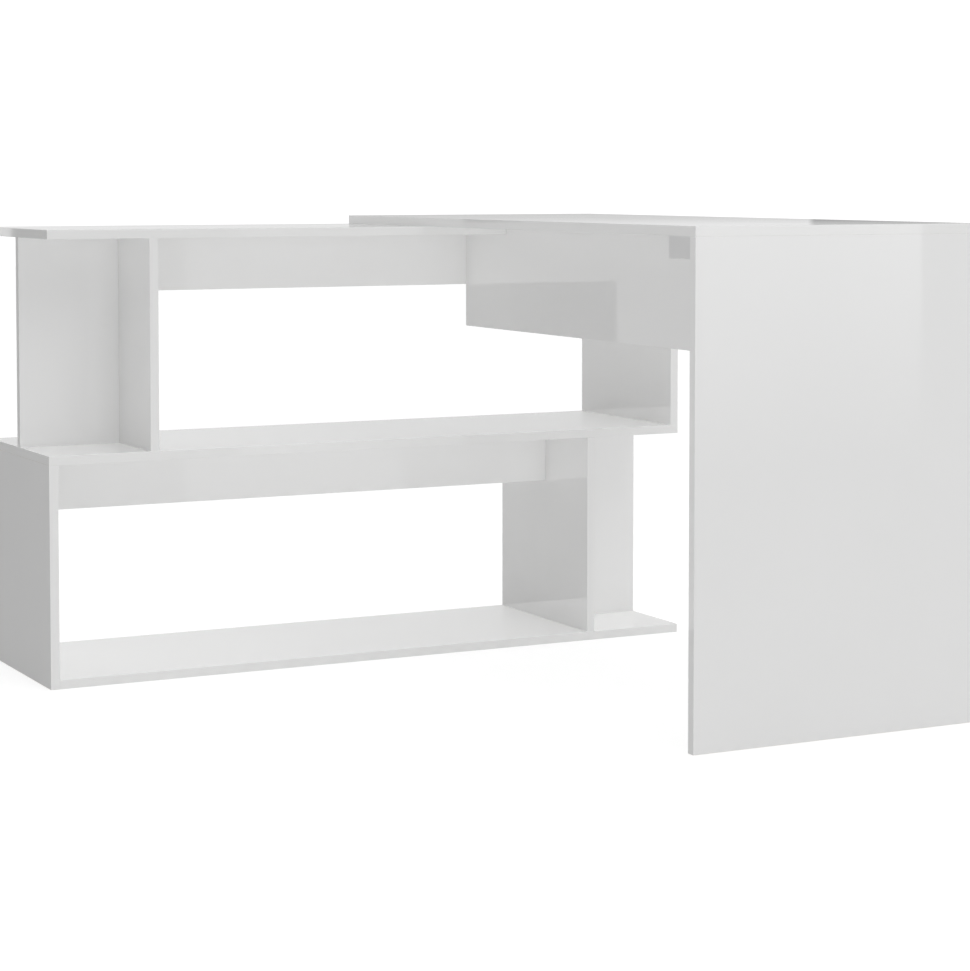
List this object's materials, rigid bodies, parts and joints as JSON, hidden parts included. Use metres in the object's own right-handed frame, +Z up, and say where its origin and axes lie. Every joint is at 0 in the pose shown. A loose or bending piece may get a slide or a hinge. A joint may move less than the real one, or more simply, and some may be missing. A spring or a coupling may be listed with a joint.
{
  "type": "corner desk",
  "caption": "Corner desk in glossy white board: a desk top on a wide panel leg, laid at a right angle across one end of an S-shaped open shelf unit.",
  "frame": {"origin": "on the floor, in the middle of the whole desk's outline seen from above", "axes": "+X along the shelf unit, from its free end to the desk's end; +Y from the panel leg to the shelf unit's back, the longest extent; +Z up, the shortest extent"},
  "size_m": [1.183, 1.206, 0.76],
  "materials": {
    "white_board": "particleboard faced in high-gloss white foil",
    "white_edge_band": "high-gloss white edge band",
    "block_plastic": "moulded, satin light grey",
    "cam_metal": "die-cast zinc, as cast",
    "bolt_metal": "nickel-plated steel",
    "screw_metal": "bright zinc-plated steel",
    "cover_plastic": "white, thin, stick-on",
    "dowel_wood": "plain beech"
  },
  "bodies": {
    "root": {"desk_top": "white_board", "desk_leg_panel": "white_board", "desk_apron": "white_board", "shelf_top_board": "white_board", "shelf_middle_board": "white_board", "shelf_bottom_board": "white_board", "lower_left_end_panel": "white_board", "upper_right_end_panel": "white_board", "upper_left_divider": "white_board", "lower_right_divider": "white_board", "upper_left_brace": "white_board", "lower_right_brace": "white_board", "upper_stretcher": "white_board", "lower_stretcher": "white_board", "desk_top_edge_bands": "white_edge_band", "desk_leg_edge_bands": "white_edge_band", "desk_apron_edge_band": "white_edge_band", "shelf_top_edge_bands": "white_edge_band", "shelf_middle_edge_bands": "white_edge_band", "shelf_bottom_edge_bands": "white_edge_band", "lower_left_end_edge_bands": "white_edge_band", "upper_right_end_edge_bands": "white_edge_band", "upper_left_divider_edge_bands": "white_edge_band", "lower_right_divider_edge_bands": "white_edge_band", "upper_left_brace_edge_band": "white_edge_band", "lower_right_brace_edge_band": "white_edge_band", "upper_stretcher_edge_band": "white_edge_band", "lower_stretcher_edge_band": "white_edge_band", "left_corner_block": "block_plastic", "right_corner_block": "block_plastic", "shelf_cam_locks": "cam_metal", "desk_cam_locks": "cam_metal", "shelf_cam_bolts": "bolt_metal", "desk_cam_bolts": "bolt_metal", "shelf_cam_covers": "cover_plastic", "desk_cam_covers": "cover_plastic", "shelf_dowels": "dowel_wood", "desk_dowels": "dowel_wood", "shelf_connector_screws": "screw_metal", "desk_top_screws": "screw_metal", "corner_block_screws": "screw_metal"}
  },
  "joints": []
}
